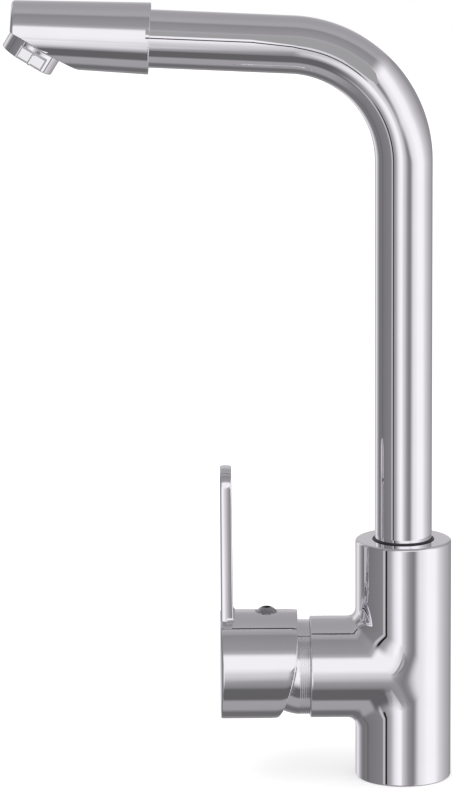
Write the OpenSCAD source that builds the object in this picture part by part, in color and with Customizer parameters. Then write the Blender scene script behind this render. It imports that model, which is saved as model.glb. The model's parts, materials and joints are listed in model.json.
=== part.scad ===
// Single-lever kitchen faucet with a high swivel spout.
// Origin: centre of the foot's underside, on the column's axis. +Z is up, -Y is the front.

/* [Column] */
// Outer diameter of the column
column_d = 47.1; // [46:0.1:50]
// Height of the column above the deck
column_h = 119.9; // [114:0.1:130]
// Radius of the round on the column's top edge
column_edge = 1.2; // [0.6:0.1:1.6]
// Radius of the round on the foot's lower edge
foot_edge = 0.8; // [0.4:0.1:1.2]
// Diameter of the recess under the foot
recess_d = 39; // [38:0.5:40]
// Depth of the recess under the foot
recess_h = 24; // [18:0.5:26]
// Hole radius of the two hose ports, tapped M10 x 1
port_r = 4.5; // [4.2:0.1:4.8]
// Depth of each tapped hose port
port_depth = 10; // [8:0.5:11]
// Distance of each hose port from the middle plane
port_x = 10.5; // [10:0.1:11]
// Distance of the hose ports in front of the column's axis
port_front = 5; // [4:0.5:6]
// Hole radius of the fixing stud, tapped M8
stud_r = 3.4; // [3:0.1:4]
// Distance of the fixing stud behind the column's axis
stud_back = 11.5; // [11:0.5:13]
// Depth of the tapped stud hole
stud_depth = 12; // [10:0.5:14]
// Height of the foot gasket, flush with the foot
gasket_h = 1.2; // [0.8:0.1:1.6]

/* [Branch] */
// Outer diameter of the valve branch
branch_d = 50.1; // [49:0.1:54]
// Height of the branch's axis above the deck
branch_z = 55.3; // [54:0.1:58]
// Distance from the column's axis to the branch's front face
branch_reach = 46.1; // [45:0.1:48]
// Radius of the round on the branch's front edge
branch_edge = 0.9; // [0.4:0.1:1.2]
// Diameter of the chamber for the cartridge
chamber_d = 40.4; // [40.2:0.1:41]
// Distance from the column's axis to the cartridge's seat
seat_reach = 24; // [23.5:0.1:25]
// Radius of the water passages
passage_r = 3.5; // [3:0.1:3.8]
// Radius of the mixed-water bore
mixed_r = 5.5; // [5:0.1:6]

/* [Spout] */
// Outer diameter of the spout tube
tube_d = 28; // [26:0.1:28.4]
// Wall of the spout tube
tube_wall = 1.5; // [1.2:0.1:2]
// Height at which the bend starts
bend_z = 307.5; // [250:0.5:340]
// Centreline radius of the bend
bend_r = 56.5; // [40:0.5:60]
// Rise of the horizontal run towards the outlet, in degrees
spout_rise = 2.8; // [0:0.1:5]
// Length of the straight run from the bend to the tube's end
run_l = 94.1; // [80:0.1:140]
// Diameter of the bearing bore in the column's top
bearing_d = 30; // [29.6:0.1:31]
// Depth of the bearing bore
bearing_h = 42; // [40:0.5:46]

/* [Outlet] */
// Diameter of the outlet sleeve at its rear end
sleeve_rear_d = 34.6; // [33:0.1:38]
// Diameter of the outlet sleeve at its front end
sleeve_front_d = 31.3; // [30:0.1:34]
// Length of the outlet sleeve
sleeve_l = 66.7; // [64:0.1:70]
// How far the sleeve reaches back over the tube
sleeve_lap = 25.7; // [20:0.1:26]
// Radius of the round on the sleeve's front edge
sleeve_edge = 1.6; // [0.8:0.1:2.4]
// Angle of the slanted face below the level line, in degrees
slant = 31.95; // [28:0.05:36]
// Height above the sleeve's axis at which the slant meets the front face
slant_top = 2.1; // [1:0.1:3]
// Outer diameter of the aerator ring
aerator_d = 27.2; // [26.6:0.1:27.8]
// Height of the aerator ring below the slanted face
aerator_h = 9.2; // [7:0.1:11]
// Radius of the aerator's thread
aerator_thread_r = 11.8; // [11.4:0.1:12]

/* [Lever] */
// Diameter of the round handle body
handle_d = 53.8; // [53.4:0.1:57]
// Height of the handle's axis above the branch's axis
handle_lift = 1.6; // [0:0.1:2]
// Distance from the column's axis to the handle's front face
handle_reach = 90.2; // [89:0.1:94]
// Distance from the column's axis to the handle's rear rim
handle_rim = 52.2; // [51.5:0.1:53]
// Height of the point where the rear rim starts to curve forward
rim_bend_z = 76.4; // [74:0.1:80]
// Radius of the rear rim's curve
rim_r = 107.3; // [90:0.1:120]
// Radius of the round on the handle's front edge
handle_edge = 1.2; // [0.6:0.1:1.6]
// Width of the lever blade
lever_w = 23; // [19:0.1:28]
// Thickness of the lever blade at its foot
lever_foot_t = 6.5; // [5.5:0.1:7.5]
// Thickness of the lever blade at its top
lever_top_t = 5.9; // [4.5:0.1:6.3]
// Height of the lever's top above the deck
lever_top_z = 156.6; // [140:0.1:170]
// Corner radius of the lever's top
lever_corner = 9; // [3:0.1:11]
// Largest opening tilt of the lever, in degrees
tilt_max = 25; // [15:1:26]

/* [Shroud] */
// Distance from the column's axis to the lever's tilt axis
pivot_reach = 49.9; // [49.6:0.1:50.2]
// Outer diameter of the shroud dome
dome_d = 46.9; // [46.7:0.1:47.2]
// Wall of the shroud dome
dome_wall = 1; // [0.8:0.1:1.1]
// Distance from the tilt axis to the dome's front opening
dome_reach = 11.9; // [11:0.1:12.5]
// Number of fine grooves round the dome's neck
groove_count = 5; // [3:1:5]
// Depth of each fine groove
groove_depth = 0.3; // [0.2:0.05:0.4]

/* [Cartridge] */
// Outer diameter of the cartridge housing
housing_d = 40; // [39.6:0.1:40]
// Outer diameter of the housing's neck
neck_d = 33.6; // [33:0.1:34]
// Length from the seat to the front of the housing's flange
flange_l = 15; // [14.6:0.1:15.4]
// Length from the seat to the front of the neck
neck_l = 29.5; // [29.2:0.1:30]
// Diameter of the rotor in the neck's bore
rotor_d = 25; // [24:0.1:26]
// Side of the square lever stem
stem_w = 8; // [7:0.1:8]
// Distance from the tilt axis to the stem's ball
ball_arm = 9; // [8.8:0.1:9.2]
// Diameter of the stem's ball
ball_d = 6; // [5.6:0.1:6.4]
// Diameter of the tilt pin
pin_d = 3; // [2.5:0.1:3.5]
// Diameter of the moving disc
disc_d = 25; // [24:0.1:25.4]
// Thickness of each ceramic disc
disc_t = 3.6; // [3.2:0.1:3.8]

/* [Screw] */
// Diameter of the screw's button head
screw_head_d = 10.5; // [9.5:0.1:11]
// Height of the screw's button head
screw_head_h = 3.3; // [2.8:0.1:3.5]
// Diameter of the screw's shank
screw_d = 6; // [5:0.1:6]
// Distance from the column's axis to the screw
screw_reach = 67.3; // [66.5:0.1:68]
// Width across the flats of the hexagon socket
socket_w = 4; // [3:0.1:4]

/* [Hidden] */
$fn = 96;

// Small overlap that lets a cut run past the face that it opens
past = 1;
// Radial play of a part that turns in its bore
turn_gap = 0.1;
// Play between faces that slide past each other without a fit
free_gap = 0.3;
// Play between parts that are assembled and stay still
seat_gap = 0.1;
// Steps of the arc on each rounded edge
edge_steps = 6;

column_r = column_d / 2;
recess_r = recess_d / 2;
branch_r = branch_d / 2;
chamber_r = chamber_d / 2;
tube_r = tube_d / 2;
tube_bore_r = tube_r - tube_wall;
bearing_r = bearing_d / 2;
bearing_z = column_h - bearing_h;
dome_r = dome_d / 2;
dome_bore_r = dome_r - dome_wall;
handle_r = handle_d / 2;
housing_r = housing_d / 2;
neck_r = neck_d / 2;
rotor_r = rotor_d / 2;
rotor_bore_r = rotor_r + turn_gap;
pin_r = pin_d / 2;
ball_r = ball_d / 2;
disc_r = disc_d / 2;
screw_r = screw_d / 2;

// Play of the stem's ball in the driver's slot, up and down, then aside
ball_play = 0.15;
ball_side_play = 0.2;
// Plastic left under the slot's floor
driver_floor = 0.6;
// Play of the square stem in the rotor's slot, and of the tilt pin in the stem
stem_play = 0.2;
pin_play = 0.05;

// Levels along the branch, counted forward from the column's axis
base_plate_t = 3.6;
disc_seat = seat_reach + base_plate_t;
fixed_front = disc_seat + disc_t;
moving_front = fixed_front + disc_t;
ball_reach = pivot_reach - ball_arm;
driver_front = ball_reach + 0.6 * ball_r;
flange_front = seat_reach + flange_l;
neck_front = seat_reach + neck_l;
rotor_flange_t = 1.8;
rotor_rear = driver_front + free_gap;
rotor_shoulder = rotor_rear + rotor_flange_t;
rotor_front = neck_front + 0.4;
dome_front = pivot_reach + dome_reach;

// Groove for the seal round the rotor
rotor_seal_w = 3;
// Height that the tilted stem needs in the rotor's slot
stem_swing = stem_w / 2 / cos(tilt_max) + (pivot_reach - rotor_rear) * tan(tilt_max) + free_gap;

// Centre of the branch's round inner end, so that the branch fades out on the column's sides
branch_end = 7;

// Nut that clamps the cartridge, with a washer under it, in the branch's mouth
washer_t = 0.8;
thread_depth = 0.7;
nut_rear = flange_front + washer_t;
nut_front = pivot_reach;
nut_skirt_r = chamber_r - 1;
mouth_rear = flange_front - 1;

// Fine grooves round the dome's neck
groove_pitch = 0.95;
groove_start = branch_reach + 0.7;

// Cavity inside the cartridge that lets the moving disc shift
disc_shift = ball_arm * sin(tilt_max);
disc_rest = -disc_shift / 2;
cavity_r = disc_r + disc_shift / 2 + 2 * free_gap;
fixed_disc_r = cavity_r - seat_gap;

// Ports of the cartridge, as distance aside and height above the branch's axis
inlet_at = [7.6, 4.4];
outlet_at = [0, -8.2];
outlet_r = mixed_r - 1.3;
port_hole_r = passage_r - 0.3;
seal_wall = 1;
seal_h = 1.6;
// Mixing pocket in the moving disc, and its middle below the branch's axis
mixing_pocket_r = 7.4;
mixing_pocket_drop = 5.2;

// How far each upright bore runs past the level bore that it meets
drill_tip = 1;
// Mixed-water bore behind the axis and its foot
mixed_back = 3;
mixed_foot = branch_z + outlet_at[1] - outlet_r - drill_tip;

// Gasket ring in the foot
gasket_in_r = recess_r + 1;
gasket_out_r = column_r - foot_edge - 0.5;

// Spout foot: levels above the deck, and radii
foot_gap = 0.7;
nipple_foot = bearing_z + foot_gap;
// How deep the tube's foot stands in the column's top
tube_foot_depth = 16;
nipple_shoulder = column_h - tube_foot_depth;
nipple_r = bearing_r - 1;
nipple_neck_r = nipple_r - 1;
spigot_h = 10;
slide_ring_h = 6;
ring_press = 0.05;
seal_section_r = 1.35;
seal_floor_r = bearing_r - 0.2 - 2 * seal_section_r;
// Heights of the two seals and the clip above the bearing's floor
seal_up = 10;
seal_pitch = 5;
clip_up = 20;
seal_z = [bearing_z + seal_up, bearing_z + seal_up + seal_pitch];
clip_z = bearing_z + clip_up;
clip_h = 1.2;
clip_depth = 0.7;
clip_split = 6;
clip_floor_r = nipple_r - 1.2;
// Ring round the tube, proud of the column's top
top_ring_h = 11;
top_ring_lift = 0.6;
waterway_r = 9.5;
// Band that joins the bend and the straight run, proud of both by a hair
weld_l = 1.6;
weld_h = 0.02;

// Straight run of the spout, in its own frame from the bend's end
run_y = -bend_r + bend_r * cos(90 - spout_rise);
run_z = bend_z + bend_r * sin(90 - spout_rise);
sleeve_start = run_l - sleeve_lap;
sleeve_end = sleeve_start + sleeve_l;
sleeve_rear_r = sleeve_rear_d / 2;
sleeve_front_r = sleeve_front_d / 2;
aerator_r = aerator_d / 2;
sleeve_way_r = 9;
sleeve_way_l = 24;
sleeve_bevel = 0.4;
sleeve_seal_at = 8;
sleeve_seal_w = 3;
sleeve_seal_r = 0.75;
aerator_edge = 0.8;
aerator_bore_r = 9.2;
aerator_play = 0.2;
socket_h = 9;
gasket_t = 1;
gasket_w = 3;
insert_r = 10.2;
insert_foot = -socket_h + gasket_t + 0.2;
insert_l = 13.4;
insert_hole_r = 1.6;
insert_cup_r = 8.4;
insert_cup_z = 1.2;
screen_z = 5.4;
screen_t = 0.8;
screen_pitch = 2;
screen_hole = 1.2;
screen_cells = 3;
// Two spanner flats, each with a narrow rib, where the thread stops the ring
spanner_flat = 2;
spanner_flat_w = 15;
spanner_flat_z = 2.6;
spanner_rib = 1.2;
spanner_turn = 6;
// Middle of the aerator on the slanted face, counted down the slant from the front face
aerator_offset = aerator_r + 0.6;

// Screw seat on top of the handle
handle_z = branch_z + handle_lift;
screw_seat_z = handle_z + handle_r - 0.4;
screw_tip_z = branch_z + stem_w / 2 + seat_gap;
screw_boss_r = screw_r + 2;
// Depth below the handle's skin at which the screw's boss ends inside the wall
screw_boss_sink = 4;
screw_head_play = 0.2;
socket_depth = 2.4;
// Domed head: a sphere cut by the head's flat underside
head_ball_r = (pow(screw_head_d / 2, 2) + pow(screw_head_h, 2)) / (2 * screw_head_h);
// Stem, its boss in the handle, and the handle's cavity round the dome
stem_cover = 10;
stem_front = handle_reach - stem_cover;
stem_back = 4.2;
// Neck between the stem and its ball
ball_neck_r = ball_r - 0.7;
ball_neck_l = ball_arm - stem_back + past;
handle_cavity_r = dome_r + 0.45;
boss_r = 9;
boss_rear = dome_front + 0.7;

// Points of a quarter round: centre, radius and first angle
function quarter(centre, r, from) =
    [for (i = [0:edge_steps]) let (a = from + 90 * i / edge_steps) centre + r * [cos(a), sin(a)]];

// Straight ring or tube standing on z = 0
module ring(outer, inner, h) {
    difference() {
        cylinder(r = outer, h = h);
        translate([0, 0, -past]) cylinder(r = inner, h = h + 2 * past);
    }
}

// Ring with a round section about the z axis
module round_ring(r, section) {
    rotate_extrude() translate([r, 0]) circle(r = section, $fn = 32);
}

// Frame of the branch: z runs forward from the column's axis, y runs up
module on_branch(forward = 0) {
    translate([0, -forward, branch_z]) rotate([90, 0, 0]) children();
}

// Frame of the spout's straight run: z runs to the outlet, y runs up
module on_run(along = 0) {
    translate([0, run_y, run_z]) rotate([90 - spout_rise, 0, 0]) translate([0, 0, along]) children();
}

// Frame of the slanted face: z runs down out of the outlet, from the aerator's middle
module on_slant() {
    on_run(sleeve_end) translate([0, slant_top, 0]) rotate([90 - slant + spout_rise, 0, 0])
        translate([0, -aerator_offset, 0]) children();
}

module column_outline() {
    polygon(concat(
        [[0, 0]],
        quarter([column_r - foot_edge, foot_edge], foot_edge, -90),
        quarter([column_r - column_edge, column_h - column_edge], column_edge, 0),
        [[0, column_h]]
    ));
}

module branch_outline() {
    polygon(concat(
        [[0, 0], [branch_r, 0]],
        quarter([branch_r - branch_edge, branch_reach - branch_edge], branch_edge, 0),
        [[0, branch_reach]]
    ));
}

module casting() {
    rotate_extrude() column_outline();
    on_branch() intersection() {
        rotate_extrude() branch_outline();
        translate([-branch_d, -branch_d, branch_end]) cube([2 * branch_d, 2 * branch_d, branch_reach]);
    }
    on_branch(branch_end) sphere(r = branch_r);
}

// Everything that is machined into the casting
module water_ways() {
    translate([0, 0, -past]) cylinder(r = recess_r, h = recess_h + past);
    translate([0, 0, -past]) ring(gasket_out_r + seat_gap, gasket_in_r - seat_gap, gasket_h + past);
    for (side = [-1, 1]) {
        translate([side * port_x, -port_front, recess_h - past])
            cylinder(r = port_r, h = port_depth + past);
        translate([side * port_x, -port_front, recess_h])
            cylinder(r = passage_r, h = branch_z + inlet_at[1] + passage_r + drill_tip - recess_h);
        on_branch(port_front) translate([side * inlet_at[0], inlet_at[1], 0])
            cylinder(r = passage_r, h = seat_reach - port_front + past);
    }
    translate([0, stud_back, recess_h - past]) cylinder(r = stud_r, h = stud_depth + past);
    translate([0, mixed_back, mixed_foot]) cylinder(r = mixed_r, h = bearing_z - mixed_foot + past);
    on_branch(-mixed_back) translate([outlet_at[0], outlet_at[1], 0])
        cylinder(r = outlet_r, h = seat_reach + mixed_back + past);
    on_branch(seat_reach) cylinder(r = chamber_r, h = branch_reach);
    on_branch(mouth_rear) cylinder(r = chamber_r + thread_depth + seat_gap, h = branch_reach);
    translate([0, 0, bearing_z]) cylinder(r = bearing_r, h = bearing_h + past);
    translate([0, 0, clip_z - seat_gap]) cylinder(r = bearing_r + clip_depth, h = clip_h + 2 * seat_gap);
}

module faucet_body() {
    color("silver") difference() {
        casting();
        water_ways();
    }
}

module base_gasket() {
    color("black") ring(gasket_out_r, gasket_in_r, gasket_h);
}

module top_ring() {
    color("black") translate([0, 0, column_h + top_ring_lift - top_ring_h])
        ring(bearing_r - ring_press, tube_r + turn_gap, top_ring_h);
}

module slide_ring() {
    color("ivory") translate([0, 0, bearing_z])
        ring(bearing_r - ring_press, nipple_neck_r + turn_gap, slide_ring_h);
}

module spout_clip() {
    color("gray") translate([0, 0, clip_z]) difference() {
        ring(bearing_r + clip_depth - seat_gap, clip_floor_r + free_gap, clip_h);
        translate([-clip_split / 2, -bearing_d, -past]) cube([clip_split, bearing_d, clip_h + 2 * past]);
    }
}

module spout_tube() {
    color("silver") {
        translate([0, 0, nipple_shoulder]) ring(tube_r, tube_bore_r, bend_z - nipple_shoulder);
        translate([0, -bend_r, bend_z]) rotate([90, 0, 90])
            rotate_extrude(angle = 90 - spout_rise) translate([bend_r, 0]) difference() {
                circle(r = tube_r);
                circle(r = tube_bore_r);
            }
        on_run() ring(tube_r, tube_bore_r, run_l);
        on_run(-weld_l / 2) ring(tube_r + weld_h, tube_bore_r - weld_h, weld_l);
    }
}

module spout_nipple() {
    color("goldenrod") difference() {
        union() {
            translate([0, 0, nipple_foot]) cylinder(r = nipple_r, h = nipple_shoulder - nipple_foot);
            translate([0, 0, nipple_shoulder]) cylinder(r = tube_bore_r, h = spigot_h);
        }
        translate([0, 0, nipple_foot - past]) cylinder(r = waterway_r, h = column_h);
        translate([0, 0, nipple_foot - past])
            ring(nipple_r + past, nipple_neck_r, slide_ring_h - foot_gap + past + free_gap);
        for (z = seal_z) translate([0, 0, z - seal_section_r - seat_gap])
            ring(nipple_r + past, seal_floor_r - seat_gap, 2 * (seal_section_r + seat_gap));
        translate([0, 0, clip_z - free_gap]) ring(nipple_r + past, clip_floor_r, clip_h + 2 * free_gap);
    }
}

module spout_seals() {
    color("black") for (z = seal_z) translate([0, 0, z])
        round_ring(seal_floor_r + seal_section_r, seal_section_r);
}

module sleeve_outline() {
    polygon(concat(
        [[0, 0], [sleeve_rear_r - sleeve_bevel, 0], [sleeve_rear_r, sleeve_bevel]],
        quarter([sleeve_front_r - sleeve_edge, sleeve_l - sleeve_edge], sleeve_edge, 0),
        [[0, sleeve_l]]
    ));
}

module outlet_sleeve() {
    color("silver") difference() {
        on_run(sleeve_start) rotate_extrude() sleeve_outline();
        on_slant() translate([-sleeve_l, -sleeve_l, 0]) cube([2 * sleeve_l, 2 * sleeve_l, sleeve_l]);
        on_run(sleeve_start - past) cylinder(r = tube_r + seat_gap, h = sleeve_lap + seat_gap + past);
        on_run(run_l) cylinder(r = sleeve_way_r, h = sleeve_way_l);
        on_slant() translate([0, 0, -socket_h])
            cylinder(r = aerator_thread_r + aerator_play, h = socket_h + past);
        on_run(sleeve_start + sleeve_seal_at)
            ring(tube_r + 2 * sleeve_seal_r + seat_gap, tube_r - past, sleeve_seal_w);
    }
}

module sleeve_seal() {
    color("black") on_run(sleeve_start + sleeve_seal_at + sleeve_seal_w / 2)
        round_ring(tube_r + seat_gap / 2 + sleeve_seal_r, sleeve_seal_r);
}

module aerator_outline() {
    polygon([
        [0, insert_foot],
        [aerator_thread_r - aerator_edge, insert_foot],
        [aerator_thread_r, insert_foot + aerator_edge],
        [aerator_thread_r, aerator_play],
        [aerator_r - aerator_edge, aerator_play],
        [aerator_r, aerator_play + aerator_edge],
        [aerator_r, aerator_h - aerator_edge],
        [aerator_r - aerator_edge, aerator_h],
        [0, aerator_h]
    ]);
}

module aerator_housing() {
    color("silver") on_slant() difference() {
        rotate_extrude() aerator_outline();
        translate([0, 0, -socket_h]) cylinder(r = aerator_bore_r, h = 2 * socket_h + aerator_h);
        for (turn = [0, 180]) rotate([0, 0, turn - spanner_turn])
            translate([aerator_r, 0, spanner_flat_z + aerator_h / 2]) difference() {
                cube([2 * spanner_flat, spanner_flat_w, aerator_h], center = true);
                cube([3 * spanner_flat, spanner_rib, 2 * aerator_h], center = true);
            }
        translate([0, 0, insert_foot - past])
            cylinder(r = insert_r + seat_gap, h = insert_l + past + seat_gap);
    }
}

module aerator_gasket() {
    color("black") on_slant() translate([0, 0, insert_foot - gasket_t - seat_gap])
        ring(insert_r, insert_r - gasket_w, gasket_t);
}

module aerator_insert() {
    color("white") on_slant() difference() {
        translate([0, 0, insert_foot]) cylinder(r = insert_r, h = insert_l);
        for (turn = [0:60:300]) rotate([0, 0, turn]) translate([insert_r / 2, 0, insert_foot - past])
            cylinder(r = insert_hole_r, h = insert_l, $fn = 24);
        translate([0, 0, insert_cup_z]) cylinder(r = insert_cup_r, h = insert_l);
    }
}

module aerator_screen() {
    color("gray") on_slant() translate([0, 0, screen_z]) difference() {
        cylinder(r = insert_cup_r - seat_gap, h = screen_t);
        for (ix = [-screen_cells:screen_cells], iy = [-screen_cells:screen_cells])
            if (screen_pitch * norm([ix, iy]) < insert_cup_r - screen_pitch)
                translate([screen_pitch * ix, screen_pitch * iy, screen_t / 2])
                    cube([screen_hole, screen_hole, 3 * screen_t], center = true);
    }
}

module cartridge_housing() {
    color("ivory") on_branch() difference() {
        union() {
            translate([0, 0, disc_seat]) cylinder(r = housing_r, h = flange_front - disc_seat);
            translate([0, 0, flange_front]) cylinder(r = neck_r, h = neck_front - flange_front);
        }
        translate([0, 0, disc_seat - past])
            cylinder(r = cavity_r, h = rotor_shoulder + turn_gap - disc_seat + past);
        translate([0, 0, disc_seat]) cylinder(r = rotor_bore_r, h = neck_front);
        translate([0, 0, neck_front - rotor_seal_w])
            cylinder(r = rotor_bore_r + rotor_seal_w / 2, h = neck_front);
    }
}

module ports(r, h) {
    for (side = [-1, 1]) translate([side * inlet_at[0], inlet_at[1], 0]) cylinder(r = r, h = h);
    translate([outlet_at[0], outlet_at[1], 0]) cylinder(r = r, h = h);
}

module cartridge_base() {
    color("ivory") on_branch(seat_reach) difference() {
        translate([0, 0, seat_gap]) cylinder(r = housing_r - seat_gap, h = base_plate_t - seat_gap);
        translate([0, 0, -past]) ports(port_hole_r, base_plate_t + 2 * past);
        translate([0, 0, -past]) ports(port_hole_r + seal_wall + seat_gap, seal_h + past);
    }
}

module cartridge_seals() {
    color("black") on_branch(seat_reach) {
        for (at = [[-inlet_at[0], inlet_at[1]], inlet_at, outlet_at])
            translate([at[0], at[1], 0]) ring(port_hole_r + seal_wall, port_hole_r, seal_h);
    }
}

module fixed_disc() {
    color("white") on_branch(disc_seat) difference() {
        cylinder(r = fixed_disc_r, h = disc_t);
        translate([0, 0, -past]) ports(port_hole_r, disc_t + 2 * past);
    }
}

module moving_disc() {
    color("white") on_branch(fixed_front) difference() {
        translate([0, disc_rest, 0]) cylinder(r = disc_r, h = disc_t);
        translate([0, -mixing_pocket_drop, -past]) cylinder(r = mixing_pocket_r, h = disc_t / 2 + past);
    }
}

module disc_driver() {
    color("dimgray") on_branch(moving_front) difference() {
        translate([0, disc_rest, 0]) cylinder(r = disc_r, h = driver_front - moving_front);
        translate([-ball_r - ball_side_play, -ball_r - ball_play, driver_floor])
            cube([ball_d + 2 * ball_side_play, ball_d + 2 * ball_play, 2 * ball_d]);
    }
}

module rotor() {
    color("dimgray") on_branch() difference() {
        union() {
            translate([0, 0, rotor_rear]) cylinder(r = cavity_r - free_gap, h = rotor_flange_t);
            translate([0, 0, rotor_rear]) cylinder(r = rotor_r, h = rotor_front - rotor_rear);
        }
        translate([-stem_w / 2 - stem_play, -stem_swing, rotor_rear - past])
            cube([stem_w + 2 * stem_play, 2 * stem_swing, rotor_front]);
        translate([0, 0, pivot_reach]) rotate([0, 90, 0])
            cylinder(r = pin_r, h = rotor_d + 2 * past, center = true);
    }
}

module rotor_seal() {
    color("black") on_branch(neck_front - rotor_seal_w / 2)
        round_ring(rotor_bore_r + rotor_seal_w / 4, rotor_seal_w / 4 - seat_gap);
}

module stem_pin() {
    color("gray") on_branch(pivot_reach) rotate([0, 90, 0])
        cylinder(r = pin_r, h = rotor_d - 1, center = true);
}

module lever_stem() {
    color("gray") on_branch() difference() {
        union() {
            translate([-stem_w / 2, -stem_w / 2, pivot_reach - stem_back])
                cube([stem_w, stem_w, stem_front - pivot_reach + stem_back]);
            translate([0, 0, ball_reach]) cylinder(r = ball_neck_r, h = ball_neck_l);
            translate([0, 0, ball_reach]) sphere(r = ball_r);
        }
        translate([0, 0, pivot_reach]) rotate([0, 90, 0])
            cylinder(r = pin_r + pin_play, h = 2 * stem_w, center = true);
    }
}

module cartridge_nut() {
    color("goldenrod") on_branch() difference() {
        union() {
            translate([0, 0, nut_rear]) cylinder(r = chamber_r + thread_depth, h = branch_reach - nut_rear);
            translate([0, 0, branch_reach + free_gap])
                cylinder(r = dome_bore_r - seat_gap, h = nut_front - branch_reach - free_gap, $fn = 6);
            translate([0, 0, branch_reach - past]) cylinder(r = nut_skirt_r, h = 2 * past);
        }
        translate([0, 0, nut_rear - past]) cylinder(r = neck_r + free_gap, h = branch_reach);
    }
}

module nut_washer() {
    color("gray") on_branch(flange_front) ring(housing_r, neck_r + free_gap, washer_t);
}

module shroud_dome() {
    color("silver") on_branch() difference() {
        union() {
            translate([0, 0, branch_reach]) cylinder(r = dome_r, h = pivot_reach - branch_reach);
            translate([0, 0, pivot_reach]) sphere(r = dome_r);
        }
        translate([0, 0, branch_reach - dome_d]) cylinder(r = dome_d, h = dome_d + seat_gap);
        translate([0, 0, branch_reach - past])
            cylinder(r = dome_bore_r, h = pivot_reach - branch_reach + past);
        translate([0, 0, pivot_reach]) sphere(r = dome_bore_r);
        translate([0, 0, dome_front]) cylinder(r = dome_d, h = dome_d);
        for (i = [0:groove_count - 1]) translate([0, 0, groove_start + groove_pitch * i])
            ring(dome_r + past, dome_r - groove_depth, groove_pitch / 2);
    }
}

// Handle body seen from the side: upright rear rim that curves forward below
module handle_side() {
    on_branch() intersection() {
        translate([0, rim_bend_z - branch_z, handle_rim + rim_r]) rotate([0, 90, 0])
            cylinder(r = rim_r, h = 2 * handle_d, center = true, $fn = 240);
        translate([-handle_d, -handle_d, handle_rim])
            cube([2 * handle_d, handle_d + rim_bend_z - branch_z, rim_r]);
    }
    on_branch() translate([-handle_d, rim_bend_z - branch_z, handle_rim])
        cube([2 * handle_d, handle_d, rim_r]);
}

module handle_outline() {
    polygon(concat(
        [[0, handle_rim - 2], [handle_r, handle_rim - 2]],
        quarter([handle_r - handle_edge, handle_reach - handle_edge], handle_edge, 0),
        [[0, handle_reach]]
    ));
}

// Upright blade: side shape tapers, front shape has round top corners
module blade() {
    intersection() {
        rotate([90, 0, 90]) linear_extrude(height = lever_w, center = true) polygon([
            [-handle_reach, handle_z],
            [-handle_reach, lever_top_z],
            [-handle_reach + lever_top_t, lever_top_z],
            [-handle_reach + lever_foot_t, handle_z + handle_r],
            [-handle_reach + lever_foot_t, handle_z]
        ]);
        translate([0, -handle_reach - past, 0]) rotate([-90, 0, 0]) mirror([0, 1, 0])
            linear_extrude(height = lever_foot_t + 2 * past) {
                translate([-lever_w / 2, handle_z]) square([lever_w, lever_top_z - lever_corner - handle_z]);
                translate([-lever_w / 2 + lever_corner, handle_z])
                    square([lever_w - 2 * lever_corner, lever_top_z - handle_z]);
                for (side = [-1, 1])
                    translate([side * (lever_w / 2 - lever_corner), lever_top_z - lever_corner])
                        circle(r = lever_corner);
            }
    }
}

module lever_handle() {
    color("silver") difference() {
        union() {
            difference() {
                union() {
                    intersection() {
                        translate([0, 0, handle_lift]) on_branch() rotate_extrude() handle_outline();
                        handle_side();
                    }
                    blade();
                }
                on_branch(pivot_reach) sphere(r = handle_cavity_r);
            }
            on_branch(boss_rear) cylinder(r = boss_r, h = stem_front - boss_rear);
            translate([0, -screw_reach, branch_z])
                cylinder(r = screw_boss_r, h = handle_r - screw_boss_sink);
        }
        on_branch(boss_rear - past) translate([-stem_w / 2 - seat_gap, -stem_w / 2 - seat_gap, 0])
            cube([stem_w + 2 * seat_gap, stem_w + 2 * seat_gap, stem_front - boss_rear + past + seat_gap]);
        translate([0, -screw_reach, branch_z]) cylinder(r = screw_r + seat_gap, h = 2 * handle_r);
        translate([0, -screw_reach, screw_seat_z])
            cylinder(r = screw_head_d / 2 + screw_head_play, h = handle_r);
    }
}

module handle_screw() {
    color("gray") translate([0, -screw_reach, 0]) difference() {
        union() {
            translate([0, 0, screw_tip_z]) cylinder(r = screw_r, h = screw_seat_z - screw_tip_z);
            intersection() {
                translate([0, 0, screw_seat_z]) cylinder(r = screw_head_d / 2, h = screw_head_h);
                translate([0, 0, screw_seat_z + screw_head_h - head_ball_r]) sphere(r = head_ball_r);
            }
        }
        translate([0, 0, screw_seat_z + screw_head_h - socket_depth])
            cylinder(r = socket_w / 2 / cos(30), h = 2 * socket_depth, $fn = 6);
    }
}

faucet_body();
base_gasket();
top_ring();
slide_ring();
spout_clip();
spout_tube();
spout_nipple();
spout_seals();
outlet_sleeve();
sleeve_seal();
aerator_housing();
aerator_gasket();
aerator_insert();
aerator_screen();
cartridge_housing();
cartridge_base();
cartridge_seals();
fixed_disc();
cartridge_nut();
nut_washer();
shroud_dome();
rotor_seal();
moving_disc();
disc_driver();
rotor();
stem_pin();
lever_stem();
lever_handle();
handle_screw();
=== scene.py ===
"""Kitchen faucet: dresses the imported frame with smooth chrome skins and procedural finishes."""

import json
import math

import bpy
import numpy as np
from mathutils import Matrix, Vector


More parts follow.
